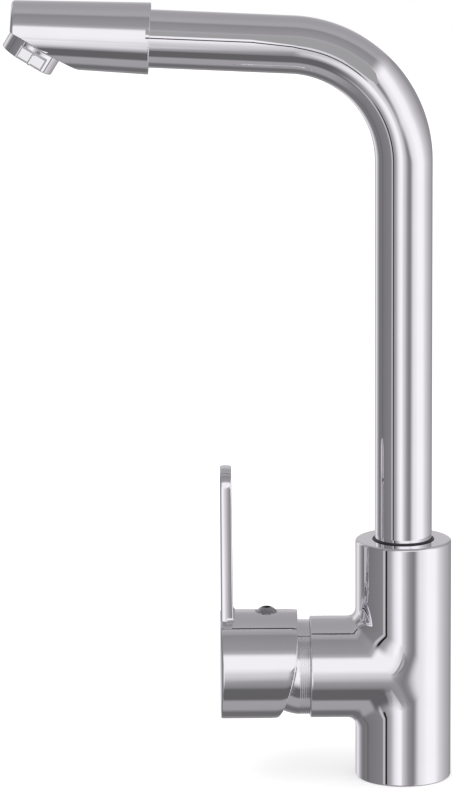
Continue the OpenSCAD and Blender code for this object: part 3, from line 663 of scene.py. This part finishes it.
class Nodes:
    """Short hand for building one node tree."""

    def __init__(self, tree):
        self.tree = tree
        tree.nodes.clear()

    def feed(self, socket, value):
        """Links a socket to another one, or sets its own value."""
        if isinstance(value, bpy.types.NodeSocket):
            self.tree.links.new(value, socket)
        else:
            socket.default_value = value

    def add(self, kind, inputs=None, **settings):
        node = self.tree.nodes.new(kind)
        for key, value in settings.items():
            setattr(node, key, value)
        for key, value in (inputs or {}).items():
            self.feed(node.inputs[key], value)
        return node

    def math(self, operation, *values):
        node = self.add("ShaderNodeMath", operation=operation)
        for socket, value in zip(node.inputs, values):
            self.feed(socket, value)
        return node.outputs[0]

    def ramp(self, factor, stops):
        """Tone that runs straight from stop to stop, each a place from 0 to 1 with a grey or a colour."""
        node = self.add("ShaderNodeValToRGB", {"Fac": factor})
        marks = node.color_ramp.elements
        while len(marks) > 1:
            marks.remove(marks[-1])
        for i, (place, tone) in enumerate(stops):
            mark = marks[0] if i == 0 else marks.new(place)
            mark.position = place
            mark.color = (*tone, 1) if hasattr(tone, "__len__") else (tone, tone, tone, 1)
        return node.outputs["Color"]

    def mix(self, factor, a, b):
        return self.add("ShaderNodeMix", {"Factor": factor, "A": a, "B": b}).outputs["Result"]

    def noise(self, vector, scale, detail):
        inputs = {"Vector": vector, "Scale": scale, "Detail": detail}
        return self.add("ShaderNodeTexNoise", inputs).outputs["Fac"]

    def span(self, value, from_low, from_high, to_low, to_high):
        inputs = {"Value": value, "From Min": from_low, "From Max": from_high}
        inputs |= {"To Min": to_low, "To Max": to_high}
        return self.add("ShaderNodeMapRange", inputs).outputs["Result"]

    def smooth_span(self, value, low, high):
        inputs = {"Value": value, "From Min": low, "From Max": high}
        return self.add("ShaderNodeMapRange", inputs, interpolation_type="SMOOTHSTEP").outputs["Result"]

    def mottled(self, noise, dark, light):
        """Tone that goes from dark to light over the part of a noise's range that it mostly has."""
        return self.ramp(noise, [(NOISE_LOW, dark), (NOISE_HIGH, light)])

    def varied(self, noise, low, high):
        """Value that goes from low to high over the same part of a noise's range."""
        return self.span(noise, NOISE_LOW, NOISE_HIGH, low, high)


def finish_nodes(name):
    """New material with its node tree, its shader and the object coordinates for its patterns."""
    made = bpy.data.materials.new(name)
    made.use_nodes = True
    nodes = Nodes(made.node_tree)
    output = nodes.add("ShaderNodeOutputMaterial")
    shader = nodes.add("ShaderNodeBsdfPrincipled")
    nodes.tree.links.new(shader.outputs["BSDF"], output.inputs["Surface"])
    place = nodes.add("ShaderNodeTexCoord").outputs["Object"]
    return made, nodes, shader, place


def bump(nodes, height, distance, **under):
    """Normal of a surface that this height raises and lowers, on top of another normal if one is given."""
    return nodes.add("ShaderNodeBump", {"Height": height, "Distance": distance, **under}).outputs["Normal"]


def plug(nodes, shader, **sockets):
    """Feeds the shader's sockets, named with a low line for each space."""
    for key, value in sockets.items():
        nodes.feed(shader.inputs[key.replace("_", " ")], value)


def polished_chrome():
    """Mirror finish with a faint haze, long shallow waves and a few dull specks."""
    made, nodes, shader, place = finish_nodes("polished_chrome")
    haze = nodes.noise(place, *CHROME_HAZE)
    specks = nodes.noise(place, *CHROME_SPECKS)
    tone = nodes.mottled(haze, *CHROME_TONES)
    dull = nodes.span(specks, *SPECK_RANGE, *SPECK_ROUGHNESS)
    rough = nodes.math("ADD", nodes.varied(haze, *CHROME_ROUGHNESS), dull)
    waves = bump(nodes, nodes.noise(place, *CHROME_WAVES), CHROME_WAVE_DEPTH)
    grain = bump(nodes, specks, SPECK_DEPTH, Normal=waves)
    plug(nodes, shader, Base_Color=tone, Metallic=1.0, Roughness=rough, Normal=grain)
    return made


def stainless():
    """Plain steel with a soft cloud of tone and a fine grain."""
    made, nodes, shader, place = finish_nodes("stainless")
    fine = nodes.noise(place, *STEEL_GRAIN)
    tone = nodes.mottled(nodes.noise(place, *STEEL_CLOUD), *STEEL_TONES)
    rough, grain = nodes.varied(fine, *STEEL_ROUGHNESS), bump(nodes, fine, STEEL_DEPTH)
    plug(nodes, shader, Base_Color=tone, Metallic=1.0, Roughness=rough, Normal=grain)
    return made


def raw_brass():
    """Machined brass, slightly tarnished."""
    made, nodes, shader, place = finish_nodes("raw_brass")
    tarnish = nodes.noise(place, *BRASS_TARNISH)
    tone, rough = nodes.mottled(tarnish, *BRASS_TONES), nodes.varied(tarnish, *BRASS_ROUGHNESS)
    grain = bump(nodes, nodes.noise(place, *BRASS_GRAIN), BRASS_DEPTH)
    plug(nodes, shader, Base_Color=tone, Metallic=1.0, Roughness=rough, Normal=grain)
    return made


def moulded(name, dark, light, roughness, pores, depth):
    """Matt or glossy finish with a soft cloud of tone and fine pores."""
    made, nodes, shader, place = finish_nodes(name)
    tone = nodes.mottled(nodes.noise(place, *MOULDED_CLOUD), dark, light)
    fine = nodes.noise(place, *pores)
    rough, grain = nodes.varied(fine, *roughness), bump(nodes, fine, depth)
    plug(nodes, shader, Base_Color=tone, Roughness=rough, Normal=grain)
    return made


def make_finishes():
    finishes = {"polished_chrome": polished_chrome(), "stainless": stainless(), "raw_brass": raw_brass()}
    for name, look in MOULDED.items():
        finishes[name] = moulded(name, *look)
    return finishes


# Studio and camera

CAMERA_AT = Vector((2.14292, -0.0864, 0.63056))
CAMERA_YAW = -0.00007
CAMERA_PITCH = 0.20147
CAMERA_ROLL = -0.00666
FRAME_HIGH_PX = 788
FOCAL_PX = 4483.84
SENSOR = 36.0
CAMERA_NEAR, CAMERA_FAR = 0.05, 50

PAPER_WHITE = 1.0
# Grey and dark cards in front of the white paper, as tones of that white, for shiny surfaces.
# Upright surfaces see them by degrees round from the camera's side towards the column's back.
ROUND_CARDS = [
    (-159, 0.50), (-148, 0.70), (-139, 0.86), (-132, 0.56), (-120, 0.26),
    (-114, 0.18), (-100, 0.20), (-95, 0.13), (-92, 0.19), (-52, 0.24), (-50, 0.55), (-47, 0.55),
    (-45, 0.25), (-36, 0.36), (-32, 0.42), (-28, 0.58), (-23, 0.80), (-17, 0.93), (-12, 1.0),
    (-8, 1.0), (0, 0.66), (7, 0.40), (14, 0.29), (22, 0.22), (26, 0.27), (33, 0.62), (38, 0.80),
    (60, 1.0), (80, 0.98), (96, 0.70), (116, 0.50), (150, 0.30),
]
# Level surfaces see them by degrees up from the camera's side, over the top.
OVER_CARDS = [
    (-168, 0.30), (-144, 0.30), (-128, 0.16), (-110, 0.16), (-98, 0.36), (-73, 0.37), (-66, 0.13),
    (-42, 0.13), (-36, 0.25), (-30, 0.30), (-24, 0.34), (-16, 0.52), (-8, 0.74), (0, 0.88), (6, 0.95),
    (28, 0.95), (32, 0.80), (36, 0.45), (44, 0.33), (60, 0.30), (76, 0.27), (84, 0.40),
    (96, 0.40), (108, 0.37), (124, 0.36), (140, 0.38), (150, 0.40), (164, 0.55),
]
# Half the span of degrees that both sets are laid out on, and the faint tint of all cards
CARD_SPAN = 200
CARD_TINT = (0.985, 0.965, 1.0)
# The cards are hung round one fixed direction, from the faucet towards the photograph's camera. Its height
# above the level line and the turn that lines the upright cards up with it are in degrees.
LOOK_BACK = (0.985, -0.02, 0.16)
LOOK_HEIGHT = 9.2
LOOK_ASIDE = 1.2
# A surface's lean, 0 upright and 90 level, over which the level cards take the upright ones' place outside
# the bend and elsewhere, and how far to the side a surface faces where each set has its full say
OUTER_SPLIT = (44.0, 51.0)
SOFT_SPLIT = (38.0, 68.0)
SIDE_FADE = (0.0, 0.25)
SIGN_SOFT = 0.03
# A thin black seam between two upright cards: its place, half width and soft edge, its tone, and the lean
# over which it fades on the bend
SEAM_ROUND = -43
SEAM_HALF = 2.1
SEAM_SOFT = (0.8 * SEAM_HALF, 1.2 * SEAM_HALF)
SEAM_TONE = 0.05
SEAM_FADE = (28.0, 37.0)
# Where the bend's rules come in, and its shifts of the cards in degrees, as shares by lean: the upright cards
# outside the bend and the level ones inside it
BEND_FADE = (0.1, 0.3)
OUTER_FADE = (0.0, 0.05)
OUTER_SHIFT = 18
OUTER_BY_LEAN = [(0.0, 0.0), (0.12, 0.5), (0.25, 1.0), (0.38, 0.75), (0.47, 0.35), (0.52, 0.0)]
INNER_SHIFT = 22
INNER_RISE = (-46.0, -34.0)
INNER_BY_LEAN = [(0.4, 1.0), (0.7, 1.0), (0.9, 0.75), (0.97, 0.0)]
# Dark strip above the lever: its reach to the sides, along the branch, and its height
TOP_STRIP_X = (-10 * MM, 5 * MM)
TOP_STRIP_Y = (-160 * MM, -15 * MM)
TOP_STRIP_Z = 335 * MM
# Cards that follow the spout at this distance, where the photograph's camera sees them in it. Each row has a
# station, in degrees round the bend and then in mm along the run, and the climb of the tube's normals that
# face the card's lower and upper edge.
FOLLOW_AWAY = 35 * MM
EDGE_CARD = [
    (46, -3.6, -3.0), (52, -4.0, -1.8), (78, -2.1, 0.1), (84, -0.6, 1.6), (87, 1.4, 3.6), (107, 6.9, 9.1),
    (159, 6.4, 8.6),
]
SHADE_CARD = [
    (42, 6, 9), (44, 4, 15), (46, 2.5, 20), (50, 1.5, 22), (58, 1.5, 22), (62, 3, 22), (84, 4.5, 22),
    (87, 6, 22), (107, 13, 22), (159, 12.5, 22),
]
SHADE_TONE = 0.36
# Light patch that the aerator ring's flats show: its distance, its half size along and across them, its place
# down the ring and its tone
PATCH_AWAY = 8 * MM
PATCH_HALF = (6.2 * MM, 2.3 * MM)
PATCH_OUT = 5.9 * MM
PATCH_TONE = 0.88
# Floor: half its side, its depth below the foot, its own tone, and the light that it gives off when seen
FLOOR_HALF = 3.0
FLOOR_DROP = 0.1 * MM
FLOOR_TONE = 0.8
FLOOR_LIFT = 0.42
# Plain light on matt surfaces, from the room and from the lamp
ROOM_TINT = (0.99, 0.99, 1, 1)
ROOM_LIGHT = 0.85
LAMP_LIGHT = 0.5
LAMP_SPREAD = math.radians(40)
LAMP_TURN = (math.radians(25), math.radians(30), 0)


def card_tone(nodes, degrees, cards):
    """Tone of a set of cards at an angle."""
    stops = [((angle + CARD_SPAN) / (2 * CARD_SPAN), tone) for angle, tone in cards]
    return nodes.ramp(nodes.span(degrees, -CARD_SPAN, CARD_SPAN, 0, 1), stops)


def soft_sign(nodes, value):
    """Sign of a value, which changes softly through nought."""
    size = nodes.math("SQRT", nodes.math("MULTIPLY_ADD", value, value, SIGN_SOFT**2))
    return nodes.math("DIVIDE", value, size)


def facing_parts(nodes):
    """Where a surface faces that mirrors a direction to the camera's side: x, y and z, and y and z as one."""
    direction = nodes.add("ShaderNodeTexCoord").outputs["Generated"]
    half = nodes.add("ShaderNodeVectorMath", {0: direction, 1: LOOK_BACK}, operation="ADD").outputs["Vector"]
    part = nodes.add("ShaderNodeSeparateXYZ", {"Vector": half}).outputs
    square = nodes.math("POWER", part["Z"], 2.0)
    aside = nodes.math("SQRT", nodes.math("MULTIPLY_ADD", part["Y"], part["Y"], square))
    return part["X"], part["Y"], part["Z"], aside


def shifted(nodes, angle, share, lean, by_lean, shift):
    """Angle with this share of a shift that changes with the lean."""
    amount = nodes.math("MULTIPLY", nodes.ramp(nodes.math("DIVIDE", lean, 90.0), by_lean), shift)
    return nodes.math("MULTIPLY_ADD", share, amount, angle)


def round_tone(nodes, angle, past_seam):
    """Tone of the upright cards and their seam, which isn't there where the last share is one."""
    off_seam = nodes.math("ABSOLUTE", nodes.math("SUBTRACT", angle, SEAM_ROUND))
    clear = nodes.math("MAXIMUM", nodes.smooth_span(off_seam, *SEAM_SOFT), past_seam)
    seam = nodes.math("MAXIMUM", clear, SEAM_TONE)
    return nodes.math("MULTIPLY", card_tone(nodes, angle, ROUND_CARDS), seam)


def level_share(nodes, lean, aside, outer):
    """Share of the level cards, and half of each set where a surface faces the camera's side."""
    sharp, soft = nodes.smooth_span(lean, *OUTER_SPLIT), nodes.smooth_span(lean, *SOFT_SPLIT)
    return nodes.mix(nodes.smooth_span(aside, *SIDE_FADE), 0.5, nodes.mix(outer, soft, sharp))


def studio_cards(nodes):
    """Tone of the cards in a direction: the upright and the level set, joined round the spout's bend."""
    x, y, z, aside = facing_parts(nodes)
    turn = nodes.math("MULTIPLY", nodes.math("ARCTAN2", aside, x), math.degrees(2))
    upness, backness = nodes.math("ABSOLUTE", z), nodes.math("ABSOLUTE", y)
    lean = nodes.math("MULTIPLY", nodes.math("ARCTAN2", upness, backness), math.degrees(1))
    side_y, side_z = soft_sign(nodes, y), soft_sign(nodes, z)
    bend_side = nodes.math("MAXIMUM", nodes.math("MULTIPLY", side_y, side_z), 0.0)
    on_bend = nodes.math("MULTIPLY", bend_side, nodes.smooth_span(aside, *BEND_FADE))
    outer = nodes.math("MULTIPLY", nodes.smooth_span(y, *OUTER_FADE), nodes.smooth_span(z, *OUTER_FADE))
    inner = nodes.math("MULTIPLY", on_bend, nodes.math("SUBTRACT", 1.0, outer))
    round_at = nodes.math("MULTIPLY_ADD", side_y, turn, LOOK_ASIDE)
    round_at = shifted(nodes, round_at, outer, lean, OUTER_BY_LEAN, OUTER_SHIFT)
    over_at = nodes.math("MULTIPLY_ADD", side_z, turn, -LOOK_HEIGHT)
    inner = nodes.math("MULTIPLY", inner, nodes.smooth_span(over_at, *INNER_RISE))
    over_at = shifted(nodes, over_at, inner, lean, INNER_BY_LEAN, INNER_SHIFT)
    past_seam = nodes.math("MULTIPLY", on_bend, nodes.smooth_span(lean, *SEAM_FADE))
    upright, level = round_tone(nodes, round_at, past_seam), card_tone(nodes, over_at, OVER_CARDS)
    tint = {"Vector": CARD_TINT, "Scale": nodes.mix(level_share(nodes, lean, aside, outer), upright, level)}
    return nodes.add("ShaderNodeVectorMath", tint, operation="SCALE").outputs["Vector"]


def make_world():
    """White paper all round, with the cards before it for shiny surfaces, and plain light for matt ones."""
    world = bpy.data.worlds.new("studio")
    bpy.context.scene.world = world
    world.use_nodes = True
    nodes = Nodes(world.node_tree)
    ray = nodes.add("ShaderNodeLightPath").outputs
    # A vector mix has its two vectors in inputs 4 and 5, and gives its own in output 1
    shown = {"Factor": ray["Is Glossy Ray"], 4: (1, 1, 1), 5: studio_cards(nodes)}
    shown = nodes.add("ShaderNodeMix", shown, data_type="VECTOR").outputs[1]
    paper = nodes.add("ShaderNodeBackground", {"Color": shown, "Strength": PAPER_WHITE}).outputs[0]
    plain = nodes.add("ShaderNodeBackground", {"Color": ROOM_TINT, "Strength": ROOM_LIGHT}).outputs[0]
    clear = nodes.math("MAXIMUM", ray["Is Camera Ray"], ray["Is Transmission Ray"])
    seen = nodes.math("MAXIMUM", clear, ray["Is Glossy Ray"])
    surface = nodes.add("ShaderNodeMixShader", {0: seen, 1: plain, 2: paper}).outputs[0]
    nodes.add("ShaderNodeOutputWorld", {"Surface": surface})


def stage_object(name, finish, points, faces):
    """Object of the studio, and the nodes of its own material."""
    mesh = bpy.data.meshes.new(name)
    mesh.from_pydata([tuple(point) for point in points], [], faces)
    thing = bpy.data.objects.new(name, mesh)
    bpy.context.scene.collection.objects.link(thing)
    made = bpy.data.materials.new(finish)
    made.use_nodes = True
    mesh.materials.append(made)
    return thing, Nodes(made.node_tree)


def make_floor():
    """Pale floor that keeps the faucet's shadow; shiny surfaces see the studio's cards instead."""
    corners = [(x * FLOOR_HALF, y * FLOOR_HALF, -FLOOR_DROP) for x, y in ((-1, -1), (1, -1), (1, 1), (-1, 1))]
    floor, nodes = stage_object("floor", "pale_floor", corners, [(0, 1, 2, 3)])
    ray = nodes.add("ShaderNodeLightPath").outputs
    seen = nodes.math("MAXIMUM", ray["Is Camera Ray"], ray["Is Transmission Ray"])
    glow = nodes.math("MULTIPLY", seen, FLOOR_LIFT)
    matt = nodes.add("ShaderNodeBsdfDiffuse", {"Color": (FLOOR_TONE, FLOOR_TONE, FLOOR_TONE, 1)}).outputs[0]
    lift = nodes.add("ShaderNodeEmission", {"Color": (1, 1, 1, 1), "Strength": glow}).outputs[0]
    both = nodes.add("ShaderNodeAddShader", {0: matt, 1: lift}).outputs[0]
    nodes.add("ShaderNodeOutputMaterial", {"Surface": both})
    floor.visible_glossy = False


def stage_card(name, points, faces, tone):
    """Card of the studio that only shiny surfaces see, from the side that its faces run anticlockwise on."""
    card, nodes = stage_object(name, name, points, faces)
    back = nodes.add("ShaderNodeNewGeometry").outputs["Backfacing"]
    light = {"Color": (tone, tone, tone, 1), "Strength": PAPER_WHITE}
    front = nodes.add("ShaderNodeEmission", light).outputs[0]
    clear = nodes.add("ShaderNodeBsdfTransparent").outputs[0]
    surface = nodes.add("ShaderNodeMixShader", {0: back, 1: front, 2: clear}).outputs[0]
    nodes.add("ShaderNodeOutputMaterial", {"Surface": surface})
    card.visible_camera = card.visible_diffuse = card.visible_shadow = card.visible_transmission = False


def spout_place(station):
    """Middle of the tube and its outward direction at a station."""
    centre, _, outward = bend_station(math.radians(min(station, BEND_TURN)))
    past = max(station - BEND_TURN, 0) * MM
    return centre + RUN_DIR * past, outward


def seen_from(point, normal, away):
    """Place at a distance that a point of the surface shows to the camera."""
    back = np.array(CAMERA_AT) - point
    back /= np.linalg.norm(back)
    return point + away * (2 * (normal @ back) * normal - back)


def follow_card(name, rows, tone):
    """Card that follows the spout, with one strip of it for each station."""
    at, lows, highs = np.array(rows).T
    points = []
    for station in np.arange(at[0], at[-1] + 1, 1.0):
        centre, outward = spout_place(station)
        for climb in np.radians((np.interp(station, at, lows), np.interp(station, at, highs))):
            normal = np.array([math.cos(climb), 0, 0]) + outward * math.sin(climb)
            points.append(seen_from(centre + normal * TUBE_R, normal, FOLLOW_AWAY))
    faces = [(i, i + 2, i + 3, i + 1) for i in range(0, len(points) - 2, 2)]
    stage_card(name, points, faces, tone)


def patch_card():
    """Light patch that stands before the aerator ring's flat on the +X side."""
    normal = np.array([math.cos(FLAT_TURN), 0, 0]) + math.sin(FLAT_TURN) * SLANT_DOWN
    along = math.cos(FLAT_TURN) * SLANT_DOWN - np.array([math.sin(FLAT_TURN), 0, 0])
    middle = AERATOR_AT + SLANT_OUT * PATCH_OUT + normal * (AERATOR_R - FLAT_DEPTH)
    points = []
    for a, b in ((-1, -1), (-1, 1), (1, 1), (1, -1)):
        point = middle + along * PATCH_HALF[0] * a + SLANT_OUT * PATCH_HALF[1] * b
        points.append(seen_from(point, normal, PATCH_AWAY))
    stage_card("aerator_patch", points, [(0, 1, 2, 3), (3, 2, 1, 0)], PATCH_TONE)


def make_cards():
    """Cards near the faucet: a strip overhead, an edge and a shade that follow the spout, and the patch."""
    (x0, x1), (y0, y1), z = TOP_STRIP_X, TOP_STRIP_Y, TOP_STRIP_Z
    stage_card("top_strip", [(x0, y0, z), (x0, y1, z), (x1, y1, z), (x1, y0, z)], [(0, 1, 2, 3)], SEAM_TONE)
    follow_card("spout_edge", EDGE_CARD, SEAM_TONE)
    follow_card("spout_shade", SHADE_CARD, SHADE_TONE)
    patch_card()


def make_lamp():
    """One soft lamp above the front, which shiny surfaces don't mirror."""
    data = bpy.data.lights.new("softbox", "SUN")
    data.energy = LAMP_LIGHT
    data.angle = LAMP_SPREAD
    lamp = bpy.data.objects.new("softbox", data)
    lamp.rotation_euler = LAMP_TURN
    lamp.visible_glossy = False
    bpy.context.scene.collection.objects.link(lamp)


def make_camera():
    """Camera at the photograph's viewing angle."""
    data = bpy.data.cameras.new("camera")
    data.sensor_width = SENSOR
    data.lens = FOCAL_PX / FRAME_HIGH_PX * SENSOR
    data.clip_start, data.clip_end = CAMERA_NEAR, CAMERA_FAR
    camera = bpy.data.objects.new("camera", data)
    bpy.context.scene.collection.objects.link(camera)
    level = math.cos(CAMERA_PITCH)
    forward = Vector((-level * math.cos(CAMERA_YAW), level * math.sin(CAMERA_YAW), -math.sin(CAMERA_PITCH)))
    right = forward.cross(Vector((0, 0, 1))).normalized()
    up = right.cross(forward)
    turn = Matrix.Rotation(CAMERA_ROLL, 3, -forward)
    basis = Matrix((turn @ right, turn @ up, -forward)).transposed()
    camera.matrix_world = Matrix.Translation(CAMERA_AT) @ basis.to_4x4()
    bpy.context.scene.camera = camera


# Dressing: the grid step of each skin, the pieces and their finishes

BODY_STEP = 0.69 * MM
HANDLE_STEP = 0.5 * MM
SLEEVE_STEP = 0.5 * MM
AERATOR_STEP = 0.3 * MM
SCREW_STEP = 0.2 * MM


def make_pieces():
    """New pieces, each with the CAD node that it takes the place of and the body that it rides on."""
    return [
        (skin("body_shell", body_field, "faucet_body", BODY_STEP), "faucet_body", "body"),
        (skin("handle_shell", handle_field, "lever_handle", HANDLE_STEP), "lever_handle", "lever"),
        (skin("sleeve_shell", sleeve_field, "outlet_sleeve", SLEEVE_STEP), "outlet_sleeve", "spout"),
        (skin("aerator_shell", aerator_field, "aerator_housing", AERATOR_STEP), "aerator_housing", "spout"),
        (skin("screw_shell", screw_field, "handle_screw", SCREW_STEP), "handle_screw", "lever"),
        (make_spout(), "spout_tube", "spout"),
        (make_dome(), "shroud_dome", "body"),
        (make_top_ring(), "top_ring", "body"),
    ]


def dress(finishes):
    """Each CAD node and each new piece gets the finish of its material slot."""
    slots = {part["node"]: part["material_slot"] for part in frame["record"]["subparts"]}
    for name, node in frame["nodes"].items():
        node.data.materials.clear()
        node.data.materials.append(finishes[slots[name]])
    for piece, node, body in make_pieces():
        piece.data.materials.append(finishes[slots[node]])
        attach(piece, body)
        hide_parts(node)


dress(make_finishes())
make_world()
make_floor()
make_cards()
make_lamp()
make_camera()
bpy.context.scene.view_settings.view_transform = "Standard"
